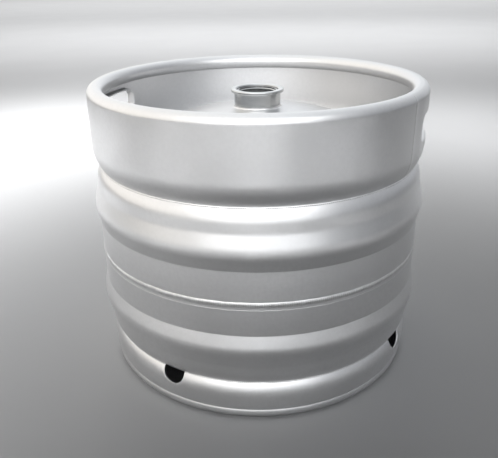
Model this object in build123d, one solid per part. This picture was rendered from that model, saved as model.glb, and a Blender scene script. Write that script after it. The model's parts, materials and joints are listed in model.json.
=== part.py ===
from build123d import *
import os
from math import acos, cos, degrees, radians, sin, sqrt

# Stainless steel beer keg of the 30 litre class. Millimetres, +Z up, front towards -Y.
# The origin is on the floor, on the keg's axis. Angles are from +X, counter-clockwise from above.

# ---- overall ----
height = 350.0
mid_z = 153.5                    # girth weld between the two drawn halves
shell_t = 1.5
chime_t = 2.0
flat_depth = 0.2                 # how far the two rolls are worn flat where they rest

# ---- drawn halves ----
band_r = 201.0                   # plain cylinder either side of the girth weld
band_half_h = 38.2
ring_r = 205.0                   # crest of the rolling rings
ring_flank_deg = 14.0
ring_back_deg = 15.5
ring_crest_bend = 28.0
ring_root_bend = 3.0
shoulder_r = 200.0               # outside radius just before the knuckle
shoulder_bend = 20.0
shoulder_deg = 4.0
knuckle_bend = 27.0
crown_top_r = 350.0              # spherical crown of the upper half
crown_low_r = 560.0              # flatter crown, so that it stays above the floor

# ---- chimes ----
chime_r = 201.0
rim_roll_deg = 300.0
foot_roll_deg = 292.0
seat_r = 192.5                   # outside radius of both chimes where they meet the halves
seat_off = 104.5                 # height of that edge above or below the girth weld
rim_roll_r = 9.4
chime_neck_in_h = 26.6           # height over which the top chime draws in to the shell
foot_bulge_r = 198.0
foot_bulge_h = 18.0              # height from the edge to the widest point
foot_roll_r = 9.0
foot_roll_start_deg = 24.0       # how far above its middle the roll leaves the groove
foot_draw_bend = 55.0
foot_draw_deg = 14.0
foot_tuck_deg = 40.0
foot_crease_bend = 2.6
foot_groove_bend = 2.2

# ---- hand holes and drain notches ----
hand_deg = -9.5
hand_w = 120.0
hand_h = 29.0
hand_z = 306.5
hand_corner = 11.0
hand_lip = 8.0                   # how far the lip of the hole turns inwards
drain_deg = -30.5
drain_count = 4
drain_r = 14.0
drain_depth = 17.0
seam_top_deg = -36.0
seam_low_deg = -23.5
seam_w_deg = 0.9
seam_h = 0.4
seam_roll_deg = 60.0             # how far the upper seam follows the rim's roll

# ---- weld beads: width, and half of their thickness ----
girth_bead = (4.6, 1.0)
chime_bead = (2.2, 0.8)
neck_bead = (3.8, 2.0)
chime_bead_shift = (0.5, 0.1)    # outwards, and towards the keg's middle
neck_bead_shift = (0.6, 0.5)     # outwards and upwards

# ---- neck and extractor ----
neck_r = 28.0
neck_top = 337.0
neck_bottom = 303.0
lip_r = 32.0
lip_h = 3.8
neck_bore = 25.5
neck_chamfer = 1.2
lip_round = 1.25
ledge_r = 22.9
ledge_z = 313.0
body_r = 25.4
coupler_r = 21.5
coupler_low = 325.0              # below this the well is wider, so that lugs turn under its tabs
well_r = 22.6
well_chamfer = 0.8
body_seal_h = 3.0
body_top = 333.2
seat_z = 316.0                   # gas valve's seat, the underside of the housing's floor
well_floor = 319.0
gas_port_r = 14.5
lug_r = 18.3
lug_z = 320.4
lug_h = 3.2
lug_deg = 50.0
skirt_in = 20.4
skirt_out = 22.2
skirt_bottom = 298.0
ring_t = 1.6
ring_in = 22.4
ring_out = 27.2
ring_gap = 9.0
ring_gap_deg = -140.0
ring_play = 0.3
seal_h = 4.5
seal_r = 17.6
seal_hole = 6.5
seal_chamfer = 1.5
ball_r = 7.5
cup_r = 17.2
cup_t = 2.0
chamber_in = 8.8
chamber_out = 10.4
chamber_floor = 286.0
chamber_taper = 5.0
tube_r = 6.35
tube_t = 0.9
tube_bottom = 20.0
cage_floor = 272.0
cage_t = 2.5
cage_in = 18.4
cage_out = 19.8
cage_top = 303.0
tab_z = 299.5
tab_h = 2.0
tab_w = 6.0
skirt_window = (14.0, 304.0, 312.0)      # width, bottom and top
cage_window = (16.0, 277.5, 296.0)
coil_turns = 6
gas_coil_r = 14.6
gas_wire = 1.9
beer_coil_r = 6.3
beer_wire = 0.9
spring_seat = 0.23               # how far below its circle on the ball the beer spring ends
clear = 0.3                      # gap between faces of bodies that move past each other

# ---- reach of cutting tools beyond the metal ----
tool_in = 150.0
tool_out = 220.0


def at(r, z):
    return Vector(r, 0, z)


def walk(start, heading, steps, offset=0.0, up=1):
    """Edges of a bent line in the XZ plane, with its last point and last heading.

    The line starts at (radius, height). heading is in degrees from the vertical towards the axis.
    A step of one number is a straight length, and a step of two is a bend: radius, then degrees
    turned towards the axis. The line is moved by offset towards the axis. up is 1 or -1.
    """
    r, z = start
    a = radians(heading)
    edges = []
    for step in steps:
        from_pt = at(r - offset * cos(a), z - offset * up * sin(a))
        if len(step) == 1:
            r -= step[0] * sin(a)
            z += step[0] * up * cos(a)
            to_pt = at(r - offset * cos(a), z - offset * up * sin(a))
            edges.append(Line(from_pt, to_pt))
            continue
        radius, turn = step
        side = 1 if turn > 0 else -1
        centre_r = r - side * radius * cos(a)
        centre_z = z - side * radius * up * sin(a)
        reach = radius - side * offset
        half = a + radians(turn) / 2
        end = a + radians(turn)
        mid_pt = at(centre_r + side * reach * cos(half), centre_z + side * reach * up * sin(half))
        to_pt = at(centre_r + side * reach * cos(end), centre_z + side * reach * up * sin(end))
        edges.append(ThreePointArc(from_pt, mid_pt, to_pt))
        a = end
        r = centre_r + side * radius * cos(a)
        z = centre_z + side * radius * up * sin(a)
    return edges, (r, z), degrees(a)


def sheet(start, heading, steps, thickness, up=1, proud=0.0):
    """Closed section of a bent sheet whose outer face is walked from start."""
    outer, _, _ = walk(start, heading, steps, -proud, up)
    inner, _, _ = walk(start, heading, steps, thickness, up)
    ends = [Line(outer[0] @ 0, inner[0] @ 0), Line(outer[-1] @ 1, inner[-1] @ 1)]
    return Face(Wire(outer + inner + ends))


def spin(section, arc=360.0, start_deg=0.0):
    solid = revolve(section, Axis.Z, revolution_arc=arc)
    return Rot(0, 0, start_deg) * solid


def outline(points):
    """Section through straight-sided points given as (radius, height)."""
    pts = [at(r, z) for r, z in points]
    return Face(Wire([Line(p, q) for p, q in zip(pts, pts[1:] + pts[:1])]))


def turned(points):
    return spin(outline(points))


def ring_of(r_in, r_out, z_low, z_high):
    return turned([(r_in, z_low), (r_out, z_low), (r_out, z_high), (r_in, z_high)])


def straight_between(step, bend_a, bend_b, angle):
    """Straight length between two opposite bends that gives a sideways step."""
    return (step - (bend_a + bend_b) * (1 - cos(radians(angle)))) / sin(radians(angle))


def half_steps(crown_r):
    """Outer face of one drawn half, from the girth weld to the end of the knuckle."""
    rise = straight_between(ring_r - band_r, ring_root_bend, ring_crest_bend, ring_flank_deg)
    turn_back = ring_back_deg - shoulder_deg
    fall_bends = ring_crest_bend * (1 - cos(radians(ring_back_deg)))
    fall_bends += shoulder_bend * (cos(radians(shoulder_deg)) - cos(radians(ring_back_deg)))
    fall = (ring_r - shoulder_r - fall_bends) / sin(radians(ring_back_deg))
    steps = [
        (band_half_h - ring_root_bend * sin(radians(ring_flank_deg)) / 2,),
        (ring_root_bend, -ring_flank_deg),
        (rise,),
        (ring_crest_bend, ring_flank_deg + ring_back_deg),
        (fall,),
        (shoulder_bend, -turn_back),
    ]
    _, (r, z), _ = walk((band_r, 0), 0, steps)
    lean = radians(shoulder_deg)
    knuckle_centre = r - knuckle_bend * cos(lean)
    for _ in range(4):
        to_seat = knuckle_bend * (sin(acos((seat_r - knuckle_centre) / knuckle_bend)) - sin(lean))
        shoulder = (seat_off - z - to_seat) / cos(lean)
        knuckle_centre = r - shoulder * sin(lean) - knuckle_bend * cos(lean)
    end_deg = degrees(acos(knuckle_centre / (crown_r - knuckle_bend)))
    steps += [(shoulder,), (knuckle_bend, end_deg - shoulder_deg)]
    return steps, end_deg


def make_half(up, crown_r, hole_r):
    steps, end_deg = half_steps(crown_r)
    stop_deg = degrees(acos(hole_r / crown_r)) if hole_r else 90.0
    steps.append((crown_r, stop_deg - end_deg))
    section = sheet((band_r, mid_z), 0, steps, shell_t, up)
    return spin(section)


def arc_radius(step, rise):
    """Radius of an arc that starts upright and moves sideways by step over rise."""
    return (rise ** 2 + step ** 2) / (2 * step)


def top_chime_steps(roll_deg):
    """Lean and outer face of the top chime, from its lower edge up to the rolled rim."""
    bend = arc_radius(chime_r - seat_r, chime_neck_in_h)
    lean = degrees(acos(1 - (chime_r - seat_r) / bend))
    wall = height + flat_depth - rim_roll_r - (mid_z + seat_off + chime_neck_in_h)
    return lean, [(bend, lean), (wall,), (rim_roll_r, roll_deg)]


def low_chime_steps(roll_deg):
    """Lean and outer face of the bottom chime, from its upper edge down to the rolled foot."""
    bend = arc_radius(foot_bulge_r - seat_r, foot_bulge_h)
    lean = degrees(acos(1 - (foot_bulge_r - seat_r) / bend))
    steps = [
        (bend, lean),
        (foot_draw_bend, foot_draw_deg),
        (foot_crease_bend, foot_tuck_deg - foot_draw_deg),
        (foot_groove_bend, -(foot_tuck_deg + foot_roll_start_deg)),
        (foot_roll_r, foot_roll_start_deg + roll_deg),
    ]
    _, (_, z), _ = walk((seat_r, mid_z - seat_off), -lean, steps[:-1], up=-1)
    bottom = z - foot_roll_r * (1 + sin(radians(foot_roll_start_deg)))
    steps.insert(1, (bottom + flat_depth,))
    return lean, steps


def hand_block(extra, r_from, r_to):
    """Rounded block through the chime wall at the first hand hole, grown by extra."""
    plane = Plane(origin=(r_from, 0, hand_z), x_dir=(0, 1, 0), z_dir=(1, 0, 0))
    shape = RectangleRounded(hand_w + 2 * extra, hand_h + 2 * extra, hand_corner + extra)
    return Rot(0, 0, hand_deg) * extrude(plane * shape, r_to - r_from)


def make_top_chime(upper_shell):
    lean, steps = top_chime_steps(rim_roll_deg)
    chime = spin(sheet((seat_r, mid_z + seat_off), -lean, steps, chime_t))
    wall_in = chime_r - chime_t
    for turn in (0, 180):
        lip = hand_block(chime_t, tool_in, tool_out)
        inside = ring_of(wall_in - hand_lip, chime_r - 0.4, hand_z - hand_h, hand_z + hand_h)
        chime += Rot(0, 0, turn) * (lip & inside)
    for turn in (0, 180):
        chime -= Rot(0, 0, turn) * hand_block(0, tool_in, tool_out)
    chime -= ring_of(tool_in, tool_out, height, height + rim_roll_r)
    return chime - upper_shell


def drain_cutters():
    """Round-bottomed notches, cut down from the upper edge of the bottom chime."""
    edge_z = mid_z - seat_off
    centre_z = edge_z - drain_depth + drain_r
    plane = Plane(origin=(tool_in, 0, centre_z), x_dir=(0, 1, 0), z_dir=(1, 0, 0))
    shape = plane * (Circle(drain_r) + Pos(0, drain_r) * Rectangle(2 * drain_r, 2 * drain_r))
    cutter = extrude(shape, tool_out - tool_in)
    return [Rot(0, 0, drain_deg + k * 360 / drain_count) * cutter for k in range(drain_count)]


def make_bottom_chime(lower_shell):
    lean, steps = low_chime_steps(foot_roll_deg)
    chime = spin(sheet((seat_r, mid_z - seat_off), -lean, steps, chime_t, up=-1))
    for cutter in drain_cutters():
        chime -= cutter
    chime -= ring_of(tool_in, tool_out, -foot_roll_r, 0)
    return chime - lower_shell


def bead(r, z, size):
    """Round weld bead lying on a corner or a wall at the given radius and height."""
    width, rise = size
    return spin(Plane.XZ * Pos(r, z) * Ellipse(rise, width / 2))


def seam(start, lean, steps, at_deg, up=1):
    """Thin ground weld that follows the outer face of a chime up its whole height."""
    section = sheet(start, -lean, steps, 0.0, up, proud=seam_h)
    return spin(section, seam_w_deg, at_deg)


def make_neck():
    groove_top = body_top + ring_t + ring_play
    groove_r = ring_out + ring_play
    lip_z = neck_top - lip_h
    solid = turned([
        (ledge_r, neck_bottom), (neck_r, neck_bottom), (neck_r, lip_z), (lip_r, lip_z),
        (lip_r, neck_top), (neck_bore + neck_chamfer, neck_top),
        (neck_bore, neck_top - neck_chamfer), (neck_bore, groove_top), (groove_r, groove_top),
        (groove_r, body_top), (neck_bore, body_top), (neck_bore, ledge_z), (ledge_r, ledge_z),
    ])
    rim = [e for e in solid.edges().filter_by(GeomType.CIRCLE) if abs(e.radius - lip_r) < 0.01]
    return fillet(rim, lip_round)


def around(shape, count, start_deg=0.0):
    return [Rot(0, 0, start_deg + k * 360 / count) * shape for k in range(count)]


def window(r_from, r_to, width, z_low, z_high):
    """Block across the wall between two radii, on the +X side."""
    middle = Pos((r_from + r_to) / 2, 0, (z_low + z_high) / 2)
    return middle * Box(r_to - r_from, width, z_high - z_low)


def make_valve_housing():
    """Valve well with two inner tabs, and a windowed skirt that holds the cage by three slots."""
    solid = turned([
        (body_r, seat_z), (body_r, body_top), (coupler_r + well_chamfer, body_top),
        (coupler_r, body_top - well_chamfer), (coupler_r, coupler_low), (well_r, coupler_low),
        (well_r, well_floor), (gas_port_r, well_floor), (gas_port_r, seat_z), (skirt_in, seat_z),
        (skirt_in, skirt_bottom), (skirt_out, skirt_bottom), (skirt_out, seat_z),
    ])
    lug_out = (well_r + body_r) / 2
    lug_top = lug_z + lug_h
    lug_section = outline([(lug_r, lug_z), (lug_out, lug_z), (lug_out, lug_top), (lug_r, lug_top)])
    for lug in around(spin(lug_section, lug_deg, -lug_deg / 2), 2):
        solid += lug
    for hole in around(window(skirt_in - 1, skirt_out + 1, *skirt_window), 4, 45):
        solid -= hole
    slot_low = tab_z - clear
    slot_high = tab_z + tab_h + clear
    for slot in around(window(skirt_in - 1, skirt_out + 1, tab_w + 2 * clear, slot_low, slot_high), 3):
        solid -= slot
    return solid


def make_housing_seal():
    section = Plane.XZ * Pos((ledge_r + neck_bore) / 2, ledge_z + body_seal_h / 2)
    width = neck_bore - ledge_r - 0.2
    return spin(section * RectangleRounded(width, body_seal_h, body_seal_h / 5))


def make_lock_ring():
    solid = ring_of(ring_in, ring_out, body_top, body_top + ring_t)
    gap = window(ring_in - 1, ring_out + 1, ring_gap, body_top - 1, neck_top)
    return solid - Rot(0, 0, ring_gap_deg) * gap


def make_gas_seal():
    low = seat_z - seal_h
    return turned([
        (seal_hole, low), (seal_r, low), (seal_r, seat_z), (seal_hole + seal_chamfer, seat_z),
        (seal_hole, seat_z - seal_chamfer),
    ])


def make_siphon_tube():
    top = seat_z - seal_h
    bore = tube_r - tube_t
    return turned([
        (chamber_in, top), (cup_r, top), (cup_r, top - cup_t), (chamber_out, top - cup_t),
        (chamber_out, chamber_floor - 1), (tube_r, chamber_floor - 1 - chamber_taper),
        (tube_r, tube_bottom),
        (bore, tube_bottom), (bore, chamber_floor), (chamber_in, chamber_floor),
    ])


def make_spring_cage():
    bore = tube_r + clear
    floor_top = cage_floor + cage_t
    solid = turned([
        (bore, cage_floor), (cage_out, cage_floor), (cage_out, cage_top), (cage_in, cage_top),
        (cage_in, floor_top), (bore, floor_top),
    ])
    for hole in around(window(cage_in - 1, cage_out + 1, *cage_window), 4, 45):
        solid -= hole
    for tab in around(window((cage_in + cage_out) / 2, skirt_out - clear, tab_w, tab_z, tab_z + tab_h), 3):
        solid += tab
    return solid


def coil(radius, wire, z_low, z_high):
    """Spring of round wire between two heights, just clear of both."""
    gap = 0.05
    length = z_high - z_low - wire - 2 * gap
    path = Pos(0, 0, z_low + wire / 2 + gap) * Helix(length / coil_turns, length, radius)
    start = Plane(origin=path @ 0, z_dir=path % 0)
    return sweep(start * Circle(wire / 2), path=path)


def make_drawn_vessel():
    """The two halves with their chimes, the welds between them and each chime's butt weld."""
    upper = make_half(1, crown_top_r, neck_r + 0.25)
    lower = make_half(-1, crown_low_r, 0)
    top = make_top_chime(upper)
    bottom = make_bottom_chime(lower)
    out, inwards = chime_bead_shift
    seat_top = mid_z + seat_off
    seat_low = mid_z - seat_off
    top_weld = bead(seat_r + out, seat_top - inwards, chime_bead) - upper - top
    low_weld = bead(seat_r + out, seat_low + inwards, chime_bead) - lower - bottom
    for cutter in drain_cutters():
        low_weld -= cutter
    lean, path = top_chime_steps(seam_roll_deg)
    top_seam = seam((seat_r, seat_top), lean, path, seam_top_deg) - top_weld
    lean, path = low_chime_steps(0)
    low_seam = seam((seat_r, seat_low), lean, path[:-2], seam_low_deg, -1) - low_weld
    inside = ring_of(tool_in, band_r - shell_t, mid_z - band_half_h, mid_z + band_half_h)
    return {
        "upper_shell": upper,
        "lower_shell": lower,
        "girth_weld": bead(band_r, mid_z, girth_bead) - upper - lower - inside,
        "top_chime": top,
        "top_chime_seam": top_seam,
        "top_chime_weld": top_weld,
        "bottom_chime": bottom,
        "bottom_chime_seam": low_seam,
        "bottom_chime_weld": low_weld,
    }


def make_extractor():
    """The valve unit held in the neck by its lock ring."""
    cup_top = seat_z - seal_h
    ball_z = cup_top - sqrt(ball_r ** 2 - seal_hole ** 2) - 0.1
    ball_ring = ball_z - sqrt(ball_r ** 2 - beer_coil_r ** 2)
    return {
        "valve_housing": make_valve_housing(),
        "housing_seal": make_housing_seal(),
        "lock_ring": make_lock_ring(),
        "gas_seal": make_gas_seal(),
        "siphon_tube": make_siphon_tube(),
        "beer_ball": Pos(0, 0, ball_z) * Sphere(ball_r),
        "beer_spring": coil(beer_coil_r, beer_wire, chamber_floor, ball_ring - spring_seat),
        "gas_spring": coil(gas_coil_r, gas_wire, cage_floor + cage_t, cup_top - cup_t),
        "spring_cage": make_spring_cage(),
    }


def make_parts():
    parts = make_drawn_vessel()
    upper = parts["upper_shell"]
    out, raised = neck_bead_shift
    dome_z = upper.bounding_box().max.Z
    parts["neck"] = make_neck()
    parts["neck_weld"] = bead(neck_r + out, dome_z + raised, neck_bead) - upper - parts["neck"]
    return parts | make_extractor()


os.makedirs("parts", exist_ok=True)
for name, shape in make_parts().items():
    export_step(shape, "parts/" + name + ".step")
    box = shape.bounding_box()
    print(name, len(shape.solids()), round(shape.volume), [round(v, 2) for v in (*box.min, *box.max)])
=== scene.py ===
import json
import math

import bmesh
import bpy
from mathutils import Matrix, Vector


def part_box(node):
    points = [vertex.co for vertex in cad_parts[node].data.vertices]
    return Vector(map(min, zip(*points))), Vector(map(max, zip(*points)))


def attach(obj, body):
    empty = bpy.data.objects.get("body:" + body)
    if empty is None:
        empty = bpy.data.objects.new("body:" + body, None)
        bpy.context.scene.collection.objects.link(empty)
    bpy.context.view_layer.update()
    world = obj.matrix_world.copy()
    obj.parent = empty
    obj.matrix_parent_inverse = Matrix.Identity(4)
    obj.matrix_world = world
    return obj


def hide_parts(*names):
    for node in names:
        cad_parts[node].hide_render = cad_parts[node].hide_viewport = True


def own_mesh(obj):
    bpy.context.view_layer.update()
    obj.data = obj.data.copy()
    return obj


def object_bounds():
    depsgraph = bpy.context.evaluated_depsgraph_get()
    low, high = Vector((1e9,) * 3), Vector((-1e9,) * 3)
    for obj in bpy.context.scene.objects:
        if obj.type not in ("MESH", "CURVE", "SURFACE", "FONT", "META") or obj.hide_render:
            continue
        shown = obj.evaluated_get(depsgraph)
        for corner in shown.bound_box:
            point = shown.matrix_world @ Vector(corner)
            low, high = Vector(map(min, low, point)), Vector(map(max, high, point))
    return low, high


# Beer keg: turned sheet-metal pieces with rolled edges, pierced holes and weld beads, built around
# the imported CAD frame. Profiles are in millimetres and degrees; meshes are made in metres.

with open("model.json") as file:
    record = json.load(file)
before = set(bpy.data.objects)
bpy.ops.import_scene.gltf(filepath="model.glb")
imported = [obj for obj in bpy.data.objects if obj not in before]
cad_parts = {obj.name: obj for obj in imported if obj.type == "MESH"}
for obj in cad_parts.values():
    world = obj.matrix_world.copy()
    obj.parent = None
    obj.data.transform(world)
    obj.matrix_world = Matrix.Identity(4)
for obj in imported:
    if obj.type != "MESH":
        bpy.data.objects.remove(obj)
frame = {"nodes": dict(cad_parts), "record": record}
cad_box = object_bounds()

MM = 0.001
SEGMENTS = 480                   # steps round the keg
LINE_STEP = 2.6                  # longest straight step along a profile
ARC_STEP = 3.0                   # largest turn between two profile points
SHARP_DEG = 38                   # edges that turn more than this stay sharp
HAIR = 0.01                      # a distance too small to matter
MERGE = 1e-6                     # vertices nearer than this become one, in metres


def low(node):
    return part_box(node)[0] / MM


def high(node):
    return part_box(node)[1] / MM


# ---- sizes taken from the frame ----
HEIGHT = cad_box[1].z / MM
MID_Z = high("lower_shell").z
RING_R = high("upper_shell").x
DOME_TOP = high("upper_shell").z
CHIME_R = high("top_chime").x
SEAT_TOP = low("top_chime").z
SEAT_LOW = high("bottom_chime").z
BULGE_R = high("bottom_chime").x
SEAT_OFF = SEAT_TOP - MID_Z
LIP_R = high("neck").x

# ---- sheet-metal profile, as drawn ----
SHELL_T = 1.5
CHIME_T = 2.0
BAND_R = 201.0
BAND_HALF = 38.2
RING_FLANK, RING_BACK = 14.0, 15.5
RING_CREST, RING_ROOT = 28.0, 3.0
SHOULDER_R, SHOULDER_BEND, SHOULDER_LEAN = 200.0, 20.0, 4.0
SHOULDER_PASSES = 4              # the shoulder's length settles within these
KNUCKLE = 27.0
CROWN_TOP, CROWN_LOW = 350.0, 560.0
NECK_HOLE = 28.25
LIP_STEP = 4.0                   # how far the neck's lip stands out from its plain wall
NECK_R = LIP_R - LIP_STEP
SEAT_R = 192.5
RIM_ROLL, RIM_TURN = 9.4, 300
NECK_IN = 26.6                   # height over which the top chime draws out from its seat
WORN_FLAT = 0.2
BULGE_H = 18.0
FOOT_ROLL, FOOT_START, FOOT_TURN = 9.0, 24.0, 292
FOOT_DRAW = (55.0, 14.0)
FOOT_TUCK, FOOT_CREASE, FOOT_GROOVE = 40.0, 2.6, 2.2

# ---- holes ----
HAND_DEG = (-9.5, 170.5)
HAND_W, HAND_H, HAND_Z, HAND_CORNER, HAND_LIP = 120.0, 29.0, 306.5, 11.0, 8.0
HAND_EDGE, HAND_ROOT, HAND_SPREAD = 2.6, 2.0, 2.4
CUT_EDGE, CUT_BEVEL = 0.35, 0.1
DRAIN_DEG = tuple(-30.5 + 90 * k for k in range(4))
DRAIN_R, DRAIN_DEPTH, DRAIN_MARGIN = 14.0, 17.0, 4
HOLE_REACH = 0.8                 # a hole is sought where the cosine of the angle to it is larger
FIELD_STEP, FIELD_PASSES = 0.01, 5

# ---- the strip drawn in beside the top chime's butt weld ----
DIP_DEPTH, DIP_REACH = 0.8, 30.0
DIP_SCALE = 6.75                 # brings the peak of x (1 - x)^2 up to one
DIP_FADE_LOW, DIP_FADE_HIGH = 0.2, 0.15

# ---- welds: width, height and pitch of the ripples ----
SEAM_TOP_DEG, SEAM_LOW_DEG = -35.55, -23.05
TOP_SEAM, LOW_SEAM = (3.4, 0.45), (3.0, 0.38)
SEAM_TOP_MARGIN = 1              # the top seam ends this far below the rim
SEAM_FOOT_Z = 17                 # the bottom seam ends at this height, above the foot
SEAM_WANDER, SEAM_SWELL = (0.10, 1.7), (0.18, 2.4)   # amount, and turn per point in radians
CHIME_WELD, CHIME_WELD_LEAN = (2.6, 0.9, 2.2), 5
CHIME_WELD_OUT, CHIME_WELD_SINK = 0.15, 0.3
CHIME_WELD_SPARE = 0.1           # degrees kept clear on each side of a drain notch
GIRTH_WELD, GIRTH_SINK = (6.4, 0.75, 2.4), 0.05
EDGE_LINE, EDGE_SINK, EDGE_DROP = (1.1, 0.15, 3.2), 0.02, 6.8
RING_ACROSS, RING_PER_RIPPLE, RING_BURIED = 8, 4, 0.5
RING_WANDER = ((0.12, 37, 0), (0.08, 91, 1))         # amount, waves round the keg, phase
RING_SWELL = (0.06, 23)                              # share of the height, waves round the keg
RIPPLE_SHARE, RIPPLE_BOW = 0.20, 0.45                # of the bead's height, and of a ripple
SEAM_ACROSS, SEAM_BURIED = 6, 0.6
FILLET, FILLET_SINK, FILLET_BURIED, FILLET_UNDER, FILLET_STEPS = 2.8, 0.3, 0.4, 0.8, 10

# ---- springs ----
GAS_WIRE, GAS_TRAVEL = 1.9, 5.0
BEER_WIRE, BEER_TRAVEL = 0.9, 6.0
COIL_TURNS, COIL_STEPS, COIL_AROUND = 6, 48, 16      # steps in a turn, and round the wire


# ------------------------------------------------------------------ profiles


def walk(start, heading, steps, offset=0.0, up=1):
    """Points of a bent line. A step is a straight length, or a bend's radius and turn in degrees.

    heading is measured from the vertical towards the axis; offset moves the line that way.
    """
    r, z = start
    a = math.radians(heading)
    points = [(r - offset * math.cos(a), z - offset * up * math.sin(a))]
    for step in steps:
        if len(step) == 1:
            count = max(1, math.ceil(step[0] / LINE_STEP))
            for _ in range(count):
                r -= step[0] / count * math.sin(a)
                z += step[0] / count * up * math.cos(a)
                points.append((r - offset * math.cos(a), z - offset * up * math.sin(a)))
            continue
        radius, turn = step
        side = 1 if turn > 0 else -1
        centre_r = r - side * radius * math.cos(a)
        centre_z = z - side * radius * up * math.sin(a)
        reach = radius - side * offset
        length = radius * math.radians(abs(turn))
        count = max(3, math.ceil(abs(turn) / ARC_STEP), math.ceil(length / LINE_STEP))
        from_a = a
        for k in range(1, count + 1):
            a = from_a + math.radians(turn) * k / count
            points.append((centre_r + side * reach * math.cos(a),
                           centre_z + side * reach * up * math.sin(a)))
        r = centre_r + side * radius * math.cos(a)
        z = centre_z + side * radius * up * math.sin(a)
    return points


def half_steps(crown, hole):
    """Outer face of a drawn half, from the girth weld to the hole or the centre of its dome."""
    flank, back, lean = (math.radians(v) for v in (RING_FLANK, RING_BACK, SHOULDER_LEAN))
    rise = (RING_R - BAND_R - (RING_ROOT + RING_CREST) * (1 - math.cos(flank))) / math.sin(flank)
    bends = RING_CREST * (1 - math.cos(back)) + SHOULDER_BEND * (math.cos(lean) - math.cos(back))
    fall = (RING_R - SHOULDER_R - bends) / math.sin(back)
    steps = [
        (BAND_HALF - RING_ROOT * math.sin(flank) / 2,),
        (RING_ROOT, -RING_FLANK),
        (rise,),
        (RING_CREST, RING_FLANK + RING_BACK),
        (fall,),
        (SHOULDER_BEND, -(RING_BACK - SHOULDER_LEAN)),
    ]
    r, z = walk((BAND_R, 0), 0, steps)[-1]
    centre = r - KNUCKLE * math.cos(lean)
    for _ in range(SHOULDER_PASSES):
        to_seat = KNUCKLE * (math.sin(math.acos((SEAT_R - centre) / KNUCKLE)) - math.sin(lean))
        shoulder = (SEAT_OFF - z - to_seat) / math.cos(lean)
        centre = r - shoulder * math.sin(lean) - KNUCKLE * math.cos(lean)
    end = math.degrees(math.acos(centre / (crown - KNUCKLE)))
    stop = math.degrees(math.acos(hole / crown)) if hole else 90.0
    return steps + [(shoulder,), (KNUCKLE, end - SHOULDER_LEAN), (crown, stop - end)]


def draw_in(step, rise):
    """Radius and turn of an arc that starts upright and moves sideways by step over rise."""
    radius = (rise ** 2 + step ** 2) / (2 * step)
    return radius, math.degrees(math.acos(1 - step / radius))


def top_chime_steps():
    radius, lean = draw_in(CHIME_R - SEAT_R, NECK_IN)
    wall = HEIGHT + WORN_FLAT - RIM_ROLL - (SEAT_TOP + NECK_IN)
    return lean, [(radius, lean), (wall,), (RIM_ROLL, RIM_TURN)]


def low_chime_steps():
    radius, lean = draw_in(BULGE_R - SEAT_R, BULGE_H)
    steps = [
        (radius, lean),
        FOOT_DRAW,
        (FOOT_CREASE, FOOT_TUCK - FOOT_DRAW[1]),
        (FOOT_GROOVE, -(FOOT_TUCK + FOOT_START)),
    ]
    z = walk((SEAT_R, SEAT_LOW), -lean, steps, up=-1)[-1][1]
    skirt = z - FOOT_ROLL * (1 + math.sin(math.radians(FOOT_START))) + WORN_FLAT
    steps.insert(1, (skirt,))
    return lean, steps + [(FOOT_ROLL, FOOT_START + FOOT_TURN)]


def clamp_height(points):
    return [(r, min(max(z, 0.0), HEIGHT)) for r, z in points]


# ------------------------------------------------------------------ meshes


def finish_piece(name, verts, faces, material, body, replaced=()):
    """Makes a shaded piece that rides on a body and stands for CAD nodes."""
    mesh = bpy.data.meshes.new(name)
    mesh.from_pydata([Vector(v) * MM for v in verts], [], faces)
    bm = bmesh.new()
    bm.from_mesh(mesh)
    bmesh.ops.remove_doubles(bm, verts=bm.verts, dist=MERGE)
    bmesh.ops.recalc_face_normals(bm, faces=bm.faces)
    bm.to_mesh(mesh)
    bm.free()
    mesh.polygons.foreach_set("use_smooth", [True] * len(mesh.polygons))
    mesh.set_sharp_from_angle(angle=math.radians(SHARP_DEG))
    piece = bpy.data.objects.new(name, mesh)
    bpy.context.scene.collection.objects.link(piece)
    mesh.materials.append(material)
    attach(piece, body)
    if replaced:
        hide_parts(*replaced)
    return piece


def polar(r, angle, z):
    return r * math.cos(angle), r * math.sin(angle), z


def lathe(outline):
    """Vertices and faces turned from a closed outline of (radius, height) points."""
    verts, rings = [], []
    for r, z in outline:
        if r < HAIR:
            rings.append([len(verts)] * SEGMENTS)
            verts.append((0, 0, z))
            continue
        rings.append(list(range(len(verts), len(verts) + SEGMENTS)))
        for k in range(SEGMENTS):
            verts.append(polar(r, 2 * math.pi * k / SEGMENTS, z))
    faces = []
    for ring, following in zip(rings, rings[1:] + rings[:1]):
        for k in range(SEGMENTS):
            n = (k + 1) % SEGMENTS
            corners = []
            for v in (ring[k], ring[n], following[n], following[k]):
                if v not in corners:
                    corners.append(v)
            if len(corners) > 2:
                faces.append(corners)
    return verts, faces


def sample(points, t):
    """Point at a fractional index along a list."""
    k = min(max(int(t), 0), len(points) - 2)
    f = t - k
    (r0, z0), (r1, z1) = points[k], points[k + 1]
    return r0 + (r1 - r0) * f, z0 + (z1 - z0) * f


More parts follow.
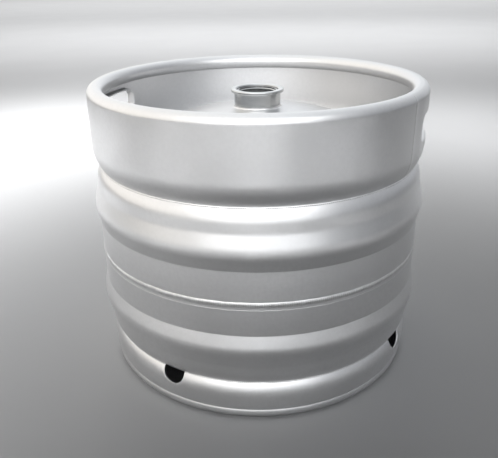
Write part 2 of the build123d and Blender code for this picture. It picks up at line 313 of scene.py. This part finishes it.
class Hole:
    """An opening through a turned sheet, given by its distance field in the sheet's own plane."""

    def __init__(self, deg, distance, lip, rows):
        self.centre = math.radians(deg)
        self.distance = distance
        self.lip = lip               # list of (distance from the outline, depth into the sheet)
        self.rows = rows             # profile indices between which the hole lies

    def local(self, angle, r):
        return r * math.sin(angle - self.centre)

    def near(self, angle):
        return math.cos(angle - self.centre) > HOLE_REACH

    def covers(self, angle, j, r, z):
        """Whether a point of the sheet lies inside the line where the lip ends."""
        if not self.rows[0] <= j <= self.rows[1]:
            return False
        return self.distance(self.local(angle, r), z) < self.lip[-1][0]

    def at_level(self, v, z, level):
        """The nearest point whose distance from the outline is level."""
        h = FIELD_STEP
        for _ in range(FIELD_PASSES):
            d = self.distance(v, z)
            gv = (self.distance(v + h, z) - self.distance(v - h, z)) / (2 * h)
            gz = (self.distance(v, z + h) - self.distance(v, z - h)) / (2 * h)
            size = max(1e-6, gv * gv + gz * gz)
            v -= (d - level) * gv / size
            z -= (d - level) * gz / size
        return v, z


def slot_distance(v, z):
    """Distance from the rounded outline of a hand hole."""
    qv = abs(v) - (HAND_W / 2 - HAND_CORNER)
    qz = abs(z - HAND_Z) - (HAND_H / 2 - HAND_CORNER)
    return math.hypot(max(qv, 0), max(qz, 0)) + min(max(qv, qz), 0) - HAND_CORNER


def notch_distance(v, z):
    """Distance from the half-round outline of a drain notch, open at the top."""
    dz = z - (SEAT_LOW - DRAIN_DEPTH + DRAIN_R)
    return (abs(v) if dz > 0 else math.hypot(v, dz)) - DRAIN_R


def quarter(count, point_at):
    return [point_at(math.radians(90 * k / count)) for k in range(count + 1)]


def hand_lip():
    """The hole's edge, from the outer face, turned in, round its end and back to the inner face."""
    edge, root, deep = HAND_EDGE, HAND_ROOT, CHIME_T + HAND_LIP
    half_t = CHIME_T / 2
    lip = quarter(5, lambda a: (edge - edge * math.sin(a), edge - edge * math.cos(a)))
    lip += [(0, edge + (deep - half_t - edge) * f) for f in (0.35, 0.7)]
    lip += [(half_t - half_t * math.cos(a), deep - half_t + half_t * math.sin(a))
            for a in (math.radians(22.5 * k) for k in range(9))]
    lip += [(CHIME_T, CHIME_T + root + HAND_SPREAD)]
    lip += quarter(4, lambda a: (CHIME_T + root * (1 - math.cos(a)),
                                 CHIME_T + root * (1 - math.sin(a))))
    return lip


def cut_lip():
    """A plain cut edge with its corners broken."""
    e, b = CUT_EDGE, CUT_BEVEL
    return [(e, 0), (b, b), (0, e), (0, CHIME_T - e), (b, CHIME_T - b), (e, CHIME_T)]


def fade(t):
    t = min(max(t, 0.0), 1.0)
    return t * t * (3 - 2 * t)


def seam_dip(angle, z):
    """How far the top chime's wall is drawn in just beyond its butt weld."""
    along = CHIME_R * (angle - math.radians(SEAM_TOP_DEG % 360)) / DIP_REACH
    if not 0 < along < 1:
        return 0.0
    level = (z - SEAT_TOP) / (HEIGHT - SEAT_TOP)
    ends = fade(level / DIP_FADE_LOW) * fade((1 - level) / DIP_FADE_HIGH)
    return DIP_DEPTH * DIP_SCALE * along * (1 - along) ** 2 * ends


class PiercedSheet:
    """A turned sheet between two matched profiles, with lipped openings."""

    def __init__(self, outer, inner, holes, thickness, dip=None):
        self.outer, self.inner = outer, inner
        self.holes, self.thickness, self.dip = holes, thickness, dip
        self.angles = [2 * math.pi * k / SEGMENTS for k in range(SEGMENTS)]
        self.verts, self.faces = [], []
        self.grid = {}               # a grid point's outer and inner vertex
        self.columns = {}            # vertices over a hole's lip at a grid point
        self.fill_grid()
        self.close_edges(self.skin())

    def place(self, t, depth, angle):
        r0, z0 = sample(self.outer, t)
        r1, z1 = sample(self.inner, t)
        f = depth / self.thickness
        r, z = r0 + (r1 - r0) * f, z0 + (z1 - z0) * f
        if self.dip:
            r -= self.dip(angle % (2 * math.pi), z)
        return polar(r, angle, z)

    def row_of(self, hole, z):
        a, b = hole.rows
        for k in range(a, b):
            z0, z1 = self.outer[k][1], self.outer[k + 1][1]
            if (z0 - z) * (z1 - z) <= 0 and z0 != z1:
                return k + (z - z0) / (z1 - z0)
        return a if abs(self.outer[a][1] - z) < abs(self.outer[b][1] - z) else b

    def lip_point(self, hole, v, z, depth):
        t = self.row_of(hole, z)
        r0, _ = sample(self.outer, t)
        r1, _ = sample(self.inner, t)
        r = r0 + (r1 - r0) * depth / self.thickness
        return self.place(t, depth, hole.centre + math.asin(max(-1, min(1, v / r))))

    def add(self, point):
        self.verts.append(point)
        return len(self.verts) - 1

    def fill_grid(self):
        """Both faces' vertices, except inside the holes."""
        for i, angle in enumerate(self.angles):
            hole = next((h for h in self.holes if h.near(angle)), None)
            for j, (r, z) in enumerate(self.outer):
                if hole is None or not hole.covers(angle, j, r, z):
                    self.grid[i, j] = (self.add(self.place(j, 0, angle)),
                                       self.add(self.place(j, self.thickness, angle)))

    def skin(self):
        """Faces of both sides. Returns the edges that only one cell of the grid uses."""
        open_edges = {}
        for i in range(SEGMENTS):
            n = (i + 1) % SEGMENTS
            for j in range(len(self.outer) - 1):
                quad = [(i, j), (n, j), (n, j + 1), (i, j + 1)]
                if not all(c in self.grid for c in quad):
                    continue
                self.faces.append([self.grid[c][0] for c in quad])
                self.faces.append([self.grid[c][1] for c in reversed(quad)])
                for a, b in zip(quad, quad[1:] + quad[:1]):
                    key = frozenset((a, b))
                    open_edges[key] = None if key in open_edges else (a, b)
        return [e for e in open_edges.values() if e]

    def column(self, c, hole):
        """Vertices from the outer to the inner face, over the hole's lip, at a grid point."""
        if c in self.columns:
            return self.columns[c]
        i, j = c
        r, z = self.outer[j]
        v, z = hole.at_level(hole.local(self.angles[i], r), z, hole.lip[0][0])
        ids = []
        for k, (level, depth) in enumerate(hole.lip):
            vk, zk = hole.at_level(v, z, level)
            point = self.lip_point(hole, vk, min(zk, SEAT_LOW) if j == 0 else zk, depth)
            if k in (0, len(hole.lip) - 1):
                ids.append(self.grid[c][0 if k == 0 else 1])
                self.verts[ids[-1]] = point
            else:
                ids.append(self.add(point))
        self.columns[c] = ids
        return ids

    def close_edges(self, edges):
        """Lips round the holes, then the strips along the sheet's own two edges."""
        rim_edges = []
        for a, b in edges:
            if a[1] == b[1] and a[1] in (0, len(self.outer) - 1):
                rim_edges.append((a, b))
                continue
            hole = max(self.holes, key=lambda h: math.cos(self.angles[a[0]] - h.centre))
            ca, cb = self.column(a, hole), self.column(b, hole)
            for k in range(len(ca) - 1):
                self.faces.append([ca[k], cb[k], cb[k + 1], ca[k + 1]])
        for a, b in rim_edges:
            ca = self.columns.get(a, list(self.grid[a]))
            cb = self.columns.get(b, list(self.grid[b]))
            self.faces.append(list(ca) + list(reversed(cb)))

    def mesh(self):
        """Vertices and faces, without the vertices that no face uses."""
        used = sorted({v for f in self.faces for v in f})
        number = {v: k for k, v in enumerate(used)}
        return [self.verts[v] for v in used], [[number[v] for v in f] for f in self.faces]


def ripple_row(k, angle, r, z, lean, width, rise):
    """One section across a rippled bead, closed by a point buried in the sheet."""
    a = math.radians(lean)
    out, along = (math.cos(a), math.sin(a)), (-math.sin(a), math.cos(a))
    wander = sum(amount * math.sin(angle * waves + phase) for amount, waves, phase in RING_WANDER)
    swell = 1 + RING_SWELL[0] * math.sin(angle * RING_SWELL[1])
    row = []
    for j in range(RING_ACROSS + 1):
        s = -1 + 2 * j / RING_ACROSS
        ripple_at = 2 * math.pi * (k / RING_PER_RIPPLE + RIPPLE_BOW * s * s)
        ripple = RIPPLE_SHARE * rise * math.sin(ripple_at) * (1 - s * s)
        h = rise * (1 - s * s) * swell + ripple
        w = s * width / 2 + wander
        row.append(polar(r + out[0] * h + along[0] * w, angle, z + out[1] * h + along[1] * w))
    row.append(polar(r - out[0] * RING_BURIED, angle, z - out[1] * RING_BURIED))
    return row


def weld_ring(r, z, lean, bead, skip=()):
    """A weld bead round the keg with the fine ripples of its passes.

    lean is the direction the bead faces, in degrees above the horizontal. skip holds centre angles
    and half widths, in degrees, of gaps.
    """
    width, rise, pitch = bead
    count = round(2 * math.pi * r / pitch) * RING_PER_RIPPLE
    verts, faces, ids = [], [], {}
    for k in range(count):
        angle = 2 * math.pi * k / count
        deg = math.degrees(angle)
        if any(abs((deg - c + 180) % 360 - 180) < half for c, half in skip):
            continue
        row = ripple_row(k, angle, r, z, lean, width, rise)
        ids[k] = list(range(len(verts), len(verts) + len(row)))
        verts += row
    for k in ids:
        n = (k + 1) % count
        if n not in ids:
            faces.append(ids[k])
            continue
        if (k - 1) % count not in ids:
            faces.append(list(reversed(ids[k])))
        for j in range(RING_ACROSS + 2):
            m = (j + 1) % (RING_ACROSS + 2)
            faces.append([ids[k][j], ids[n][j], ids[n][m], ids[k][m]])
    return verts, faces


def tube_faces(rows, around):
    """Faces of a closed run of sections, each of the same number of vertices, with its two ends."""
    faces = []
    for k in range(rows - 1):
        a, b = k * around, (k + 1) * around
        for j in range(around):
            m = (j + 1) % around
            faces.append([a + j, a + m, b + m, b + j])
    faces.append(list(range(around)))
    faces.append([(rows - 1) * around + j for j in reversed(range(around))])
    return faces


def upright_seam(points, deg, width, rise):
    """A ground butt weld that follows a chime's outer face from one edge towards the other."""
    verts = []
    centre = math.radians(deg)
    for k, (r, z) in enumerate(points):
        before, after = points[max(k - 1, 0)], points[min(k + 1, len(points) - 1)]
        dr, dz = after[0] - before[0], after[1] - before[1]
        size = math.hypot(dr, dz)
        side = 1 if dz > 0 else -1
        nr, nz = dz / size * side, -dr / size * side
        wander = SEAM_WANDER[0] * math.sin(k * SEAM_WANDER[1])
        for j in range(SEAM_ACROSS + 1):
            s = -1 + 2 * j / SEAM_ACROSS
            h = rise * (1 - s * s) * (1 + SEAM_SWELL[0] * math.sin(k * SEAM_SWELL[1] + s))
            verts.append(polar(r + nr * h, centre + (s * width / 2 + wander) / r, z + nz * h))
        verts.append(polar(r - nr * SEAM_BURIED, centre + wander / r, z - nz * SEAM_BURIED))
    return verts, tube_faces(len(points), SEAM_ACROSS + 2)


# ------------------------------------------------------------------ materials


class Nodes:
    """Shorthand for building a material's nodes."""

    def __init__(self, name):
        self.material = bpy.data.materials.new(name)
        self.material.use_nodes = True
        self.tree = self.material.node_tree
        self.shader = self.tree.nodes["Principled BSDF"]
        self.coords = self.add("ShaderNodeTexCoord").outputs["Object"]

    def add(self, kind, **settings):
        node = self.tree.nodes.new(kind)
        for key, value in settings.items():
            setattr(node, key, value)
        return node

    def link(self, a, b):
        self.tree.links.new(a, b)

    def noise(self, scale, detail=2.0, rough=0.5, stretch=(1, 1, 1)):
        node = self.add("ShaderNodeTexNoise")
        node.inputs["Scale"].default_value = scale
        node.inputs["Detail"].default_value = detail
        node.inputs["Roughness"].default_value = rough
        mapping = self.add("ShaderNodeMapping")
        mapping.inputs["Scale"].default_value = stretch
        self.link(self.coords, mapping.inputs["Vector"])
        self.link(mapping.outputs[0], node.inputs["Vector"])
        return node.outputs["Fac"]

    def ramp(self, value, low_value, high_value, from_low=0.3, from_high=0.7):
        node = self.add("ShaderNodeMapRange")
        for key, number in (("From Min", from_low), ("From Max", from_high),
                            ("To Min", low_value), ("To Max", high_value)):
            node.inputs[key].default_value = number
        self.link(value, node.inputs["Value"])
        return node.outputs["Result"]

    def combine(self, operation, a, b):
        node = self.add("ShaderNodeMath", operation=operation)
        self.link(a, node.inputs[0])
        self.link(b, node.inputs[1])
        return node.outputs[0]

    def mix(self, factor, colour_a, colour_b):
        node = self.add("ShaderNodeMix", data_type="RGBA")
        node.inputs[6].default_value = (*colour_a, 1)
        node.inputs[7].default_value = (*colour_b, 1)
        self.link(factor, node.inputs[0])
        return node.outputs[2]

    def bump(self, height, strength, distance, normal=None):
        node = self.add("ShaderNodeBump")
        node.inputs["Strength"].default_value = strength
        node.inputs["Distance"].default_value = distance
        self.link(height, node.inputs["Height"])
        if normal is not None:
            self.link(normal, node.inputs["Normal"])
        return node.outputs[0]

    def set(self, **values):
        for key, value in values.items():
            self.shader.inputs[key].default_value = value

    def finish(self, colour, roughness, normal=None):
        """Links the shader's colour, roughness and normal, and returns the material."""
        self.link(colour, self.shader.inputs["Base Color"])
        self.link(roughness, self.shader.inputs["Roughness"])
        if normal is not None:
            self.link(normal, self.shader.inputs["Normal"])
        return self.material


def blasted_steel(name, light, dark, rough):
    """Bead-blasted stainless sheet: fine even grain, faint cloudiness, slight draw waviness."""
    n = Nodes(name)
    n.set(Metallic=1.0)
    cloud = n.noise(scale=9.0, detail=4.0, rough=0.55)
    fine = n.noise(scale=1500.0, detail=3.0, rough=0.6)
    mottle = n.noise(scale=240.0, detail=3.0, rough=0.55)
    wave = n.noise(scale=26.0, detail=1.0, rough=0.4, stretch=(1, 1, 1.6))
    tone = n.combine("MULTIPLY", n.ramp(cloud, 0.3, 1, 0.35, 0.65),
                     n.ramp(mottle, 0.55, 1.0, 0.35, 0.6))
    satin = n.combine("ADD", n.ramp(mottle, rough - 0.015, rough + 0.015),
                      n.ramp(cloud, -0.012, 0.012))
    soft = n.bump(wave, strength=0.05, distance=0.0010)
    grain = n.bump(fine, strength=0.10, distance=0.00003, normal=soft)
    return n.finish(n.mix(tone, dark, light), satin, grain)


def weld_steel(name):
    n = Nodes(name)
    n.set(Metallic=1.0)
    patch = n.noise(scale=180.0, detail=3.0, rough=0.6)
    colour = n.mix(n.ramp(patch, 0, 1), (0.70, 0.70, 0.695), (0.84, 0.84, 0.84))
    grain = n.bump(n.noise(scale=1300.0), strength=0.12, distance=0.0001)
    return n.finish(colour, n.ramp(patch, 0.28, 0.38), grain)


def turned_steel(name, light, dark, rough):
    """Lathe-turned stainless: fine rings round the axis, semi-bright."""
    n = Nodes(name)
    n.set(Metallic=1.0, Anisotropic=0.45)
    rings = n.noise(scale=700.0, rough=0.6, stretch=(0.06, 0.06, 4.0))
    broad = n.noise(scale=60.0, detail=3.0, stretch=(0.5, 0.5, 3.0))
    return n.finish(n.mix(n.ramp(broad, 0, 1), dark, light),
                    n.ramp(rings, rough - 0.05, rough + 0.07),
                    n.bump(rings, strength=0.22, distance=0.00008))


def bright_steel(name, colour, rough):
    n = Nodes(name)
    n.set(Metallic=1.0)
    fine = n.noise(scale=400.0, detail=3.0, rough=0.6)
    dim = tuple(c * 0.9 for c in colour)
    return n.finish(n.mix(n.ramp(fine, 0, 1), dim, colour), n.ramp(fine, rough * 0.8, rough * 1.3))


def rubber(name):
    n = Nodes(name)
    n.set(Metallic=0.0)
    fine = n.noise(scale=900.0, detail=3.0, rough=0.6)
    patch = n.ramp(n.noise(scale=90.0, detail=3.0), 0, 1)
    return n.finish(n.mix(patch, (0.012, 0.012, 0.013), (0.028, 0.028, 0.03)),
                    n.ramp(fine, 0.45, 0.62), n.bump(fine, strength=0.2, distance=0.0001))


def make_materials():
    return {
        "drawn_steel": blasted_steel("drawn_steel", (0.75, 0.75, 0.755), (0.68, 0.68, 0.683), 0.36),
        "chime_steel": blasted_steel("chime_steel", (0.76, 0.76, 0.765), (0.69, 0.69, 0.692), 0.36),
        "weld_steel": weld_steel("weld_steel"),
        "turned_steel": turned_steel("turned_steel", (0.66, 0.67, 0.67), (0.55, 0.56, 0.56), 0.18),
        "tube_steel": turned_steel("tube_steel", (0.68, 0.68, 0.68), (0.6, 0.6, 0.6), 0.22),
        "spring_steel": bright_steel("spring_steel", (0.62, 0.62, 0.63), 0.2),
        "ball_steel": bright_steel("ball_steel", (0.8, 0.8, 0.8), 0.06),
        "seal_rubber": rubber("seal_rubber"),
    }


# ------------------------------------------------------------------ pieces


def make_shells(steel):
    for name, up, crown, hole in (("upper_shell", 1, CROWN_TOP, NECK_HOLE),
                                  ("lower_shell", -1, CROWN_LOW, 0)):
        steps = half_steps(crown, hole)
        start = (BAND_R, MID_Z)
        outer = walk(start, 0, steps, 0, up)
        inner = walk(start, 0, steps, SHELL_T, up)
        verts, faces = lathe(outer + inner[::-1])
        finish_piece(name + "_skin", verts, faces, steel, "keg", [name])


def rows_between(points, z_low, z_high):
    rows = [k for k, (_, z) in enumerate(points) if z_low <= z <= z_high]
    return min(rows), max(rows)


def finish_weld(name, shape, weld, replaced=()):
    verts, faces = shape
    finish_piece(name, verts, faces, weld, "keg", replaced)


def make_top_chime(steel, weld):
    lean, steps = top_chime_steps()
    start = (SEAT_R, SEAT_TOP)
    outer = clamp_height(walk(start, -lean, steps))
    inner = clamp_height(walk(start, -lean, steps, CHIME_T))
    wall_end = max(k for k, (r, _) in enumerate(outer) if r > CHIME_R - HAIR)
    rows = rows_between(outer[:wall_end], HAND_Z - HAND_H, HAND_Z + HAND_H)
    holes = [Hole(deg, slot_distance, hand_lip(), rows) for deg in HAND_DEG]
    verts, faces = PiercedSheet(outer, inner, holes, CHIME_T, seam_dip).mesh()
    finish_piece("top_chime_skin", verts, faces, steel, "keg", ["top_chime"])
    below_rim = HEIGHT - SEAM_TOP_MARGIN
    top = max(k for k, (r, z) in enumerate(outer) if r > CHIME_R - RIM_ROLL / 2 and z < below_rim)
    finish_weld("top_chime_seam_bead", upright_seam(outer[1:top], SEAM_TOP_DEG, *TOP_SEAM), weld,
                ["top_chime_seam"])
    ring = weld_ring(SEAT_R + CHIME_WELD_OUT, SEAT_TOP - CHIME_WELD_SINK, CHIME_WELD_LEAN, CHIME_WELD)
    finish_weld("top_chime_weld_bead", ring, weld, ["top_chime_weld"])


def make_bottom_chime(steel, weld):
    lean, steps = low_chime_steps()
    start = (SEAT_R, SEAT_LOW)
    outer = clamp_height(walk(start, -lean, steps, 0, -1))
    inner = clamp_height(walk(start, -lean, steps, CHIME_T, -1))
    rows = rows_between(outer, SEAT_LOW - DRAIN_DEPTH - DRAIN_MARGIN, SEAT_LOW)
    holes = [Hole(deg, notch_distance, cut_lip(), rows) for deg in DRAIN_DEG]
    verts, faces = PiercedSheet(outer, inner, holes, CHIME_T).mesh()
    finish_piece("bottom_chime_skin", verts, faces, steel, "keg", ["bottom_chime"])
    groove = min(k for k, (_, z) in enumerate(outer) if z < SEAM_FOOT_Z)
    finish_weld("bottom_chime_seam_bead", upright_seam(outer[1:groove], SEAM_LOW_DEG, *LOW_SEAM),
                weld, ["bottom_chime_seam"])
    half_gap = math.degrees(DRAIN_R / SEAT_R) + CHIME_WELD_SPARE
    gaps = [(deg, half_gap) for deg in DRAIN_DEG]
    ring = weld_ring(SEAT_R + CHIME_WELD_OUT, SEAT_LOW + CHIME_WELD_SINK, -CHIME_WELD_LEAN,
                     CHIME_WELD, gaps)
    finish_weld("bottom_chime_weld_bead", ring, weld, ["bottom_chime_weld"])


def make_girth_weld(weld):
    bead = weld_ring(BAND_R - GIRTH_SINK, MID_Z, 0, GIRTH_WELD)
    finish_weld("girth_weld_bead", bead, weld, ["girth_weld"])
    line = weld_ring(BAND_R - EDGE_SINK, MID_Z - EDGE_DROP, 0, EDGE_LINE)
    finish_weld("girth_weld_edge_line", line, weld)


def make_neck_weld(weld):
    """Small hollow fillet between the neck and the dome."""
    foot, buried_r = DOME_TOP - FILLET_SINK, NECK_R - FILLET_BURIED
    points = quarter(FILLET_STEPS, lambda a: (NECK_R + FILLET * (1 - math.cos(a)),
                                              foot + FILLET * (1 - math.sin(a))))
    outline = [(buried_r, foot - FILLET_UNDER)] + points[::-1] + [(buried_r, foot + FILLET)]
    finish_weld("neck_weld_fillet", lathe(outline), weld, ["neck_weld"])


def coil(node, wire):
    """Round wire wound about the axis, filling the frame's box of a spring."""
    bottom, top = low(node).z + wire / 2, high(node).z - wire / 2
    radius = high(node).x - wire / 2
    steps = COIL_STEPS * COIL_TURNS
    verts = []
    for k in range(steps + 1):
        angle = 2 * math.pi * COIL_TURNS * k / steps
        z = bottom + (top - bottom) * k / steps
        for j in range(COIL_AROUND):
            b = 2 * math.pi * j / COIL_AROUND
            verts.append(polar(radius + wire / 2 * math.cos(b), angle, z + wire / 2 * math.sin(b)))
    return verts, tube_faces(steps + 1, COIL_AROUND)


def make_springs(steel):
    """Each spring stands on its own body."""
    for node, wire, body, joint, travel in (
            ("gas_spring", GAS_WIRE, "keg", "gas_valve_slide", GAS_TRAVEL),
            ("beer_spring", BEER_WIRE, "siphon", "beer_valve_slide", BEER_TRAVEL)):
        verts, faces = coil(node, wire)
        piece = finish_piece(node + "_coil", verts, faces, steel, body, [node])
        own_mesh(piece)


def dress_cad_nodes(materials):
    """CAD pieces that keep their own shape get the finished materials."""
    slots = {s["node"]: s["material_slot"] for s in frame["record"]["subparts"]}
    for name, obj in frame["nodes"].items():
        for k in range(len(obj.material_slots)):
            obj.material_slots[k].material = materials[slots[name]]


# ------------------------------------------------------------------ scene

# Panels that the steel mirrors and that don't light the floor: name, place, aim, size, radiance.
PANELS = (
    ("front_wall", (0.05, -2.6, 1.1), (0, 0, 1.0), (3.8, 1.6), 0.85),
    ("front_top", (0.05, -2.0, 2.3), (0, 0, 0.3), (3.8, 1.5), 1.4),
)
# Lamps for the floor round the keg, not mirrored: direction in degrees, radiance, spread.
POOLS = ((0, 3.2, 85), (-50, 3.4, 100), (50, 2.3, 95), (-105, 4.4, 120), (105, 1.1, 120),
         (-150, 4.4, 125), (150, 1.8, 115))
POOL_REACH, POOL_HEIGHT, POOL_SIZE = 1.25, 0.75, (0.7, 0.7)
# Lamps for the floor further out, not mirrored: name, place, aim, size, radiance, spread.
FAR_POOLS = (
    ("rear_pool", (0, 3.6, 2.0), (0, 3.4, 0), (5.0, 2.4), 1.2, 120),
    ("far_pool", (0, 8.0, 3.6), (0, 8.0, 0), (12.0, 6.0), 1.4, 150),
    ("near_pool", (0, -8.0, 3.6), (0, -8.0, 0), (14.0, 6.0), 1.6, 100),
)
FLOOR_HALF = 14.0
SURROUND = 1.15                  # strength of the surround
SURROUND_LEFT, SURROUND_RIGHT = (1.2, 1.15, 1.08, 1), (0.30, 0.31, 0.33, 1)
SURROUND_MIDDLE, SURROUND_MIDDLE_AT = (0.97, 1.0, 1.03, 1), 0.55
# The camera's lens and sensor in millimetres, angles in radians and place in metres.
LENS, SENSOR = 42.82, 36.0
CAMERA_PITCH, CAMERA_YAW, CAMERA_ROLL = 0.4192, -0.01735, -0.01442
CAMERA_BACK, CAMERA_OVER_MIDDLE = 0.7243, 0.3194


def area_light(name, place, aim, size, radiance, mirrored=True, spread=180):
    """A soft panel of a given brightness, either mirrored by the steel or lighting the floor."""
    data = bpy.data.lights.new(name, "AREA")
    data.shape = "RECTANGLE"
    data.size, data.size_y = size
    data.energy = radiance * math.pi * size[0] * size[1]
    data.spread = math.radians(spread)
    light = bpy.data.objects.new(name, data)
    bpy.context.scene.collection.objects.link(light)
    light.location = place
    light.rotation_euler = (Vector(aim) - Vector(place)).to_track_quat("-Z", "Y").to_euler()
    light.visible_camera = False
    light.visible_glossy = mirrored
    light.visible_diffuse = not mirrored


def make_floor():
    half = FLOOR_HALF
    mesh = bpy.data.meshes.new("floor")
    mesh.from_pydata([(-half, -half, 0), (half, -half, 0), (half, half, 0), (-half, half, 0)], [],
                     [(0, 1, 2, 3)])
    floor = bpy.data.objects.new("floor", mesh)
    bpy.context.scene.collection.objects.link(floor)
    n = Nodes("floor_paint")
    tone = n.ramp(n.noise(scale=3.0, detail=3.0), 0, 1)
    n.link(n.mix(tone, (0.595, 0.60, 0.61), (0.615, 0.62, 0.63)), n.shader.inputs["Base Color"])
    n.set(Roughness=0.75)
    mesh.materials.append(n.material)


def make_world():
    """Studio surround, mirrored but not lighting the floor: brighter and warmer on the left."""
    world = bpy.data.worlds.new("studio")
    bpy.context.scene.world = world
    world.use_nodes = True
    nodes, links = world.node_tree.nodes, world.node_tree.links
    coords = nodes.new("ShaderNodeTexCoord")
    split = nodes.new("ShaderNodeSeparateXYZ")
    links.new(coords.outputs["Generated"], split.inputs[0])
    side = nodes.new("ShaderNodeMapRange")
    for key, value in (("From Min", -1.0), ("From Max", 1.0), ("To Min", 0.0), ("To Max", 1.0)):
        side.inputs[key].default_value = value
    links.new(split.outputs["X"], side.inputs["Value"])
    ramp = nodes.new("ShaderNodeValToRGB")
    links.new(side.outputs["Result"], ramp.inputs[0])
    ramp.color_ramp.elements[0].color = SURROUND_LEFT
    ramp.color_ramp.elements[1].color = SURROUND_RIGHT
    ramp.color_ramp.elements.new(SURROUND_MIDDLE_AT).color = SURROUND_MIDDLE
    back = nodes["Background"]
    links.new(ramp.outputs[0], back.inputs["Color"])
    back.inputs["Strength"].default_value = SURROUND
    world.cycles_visibility.diffuse = False


def make_camera():
    data = bpy.data.cameras.new("camera")
    data.sensor_width = SENSOR
    data.lens = LENS
    camera = bpy.data.objects.new("camera", data)
    bpy.context.scene.collection.objects.link(camera)
    turn = Matrix.Rotation(-CAMERA_YAW, 4, "Z") @ Matrix.Rotation(math.pi / 2 - CAMERA_PITCH, 4, "X")
    turn = turn @ Matrix.Rotation(CAMERA_ROLL, 4, "Z")
    place = (0, -CAMERA_BACK, MID_Z * MM + CAMERA_OVER_MIDDLE)
    camera.matrix_world = Matrix.Translation(place) @ turn
    bpy.context.scene.camera = camera


def make_lights():
    for panel in PANELS:
        area_light(*panel)
    for deg, radiance, spread in POOLS:
        a = math.radians(deg)
        x, y = POOL_REACH * math.sin(a), -POOL_REACH * math.cos(a)
        area_light(f"pool_{deg}", (x, y, POOL_HEIGHT), (x, y, 0), POOL_SIZE, radiance, False, spread)
    for name, place, aim, size, radiance, spread in FAR_POOLS:
        area_light(name, place, aim, size, radiance, False, spread)


materials = make_materials()
dress_cad_nodes(materials)
make_shells(materials["drawn_steel"])
make_top_chime(materials["chime_steel"], materials["weld_steel"])
make_bottom_chime(materials["chime_steel"], materials["weld_steel"])
make_girth_weld(materials["weld_steel"])
make_neck_weld(materials["weld_steel"])
make_springs(materials["spring_steel"])
make_floor()
make_world()
make_lights()
make_camera()
bpy.context.scene.view_settings.view_transform = "Standard"
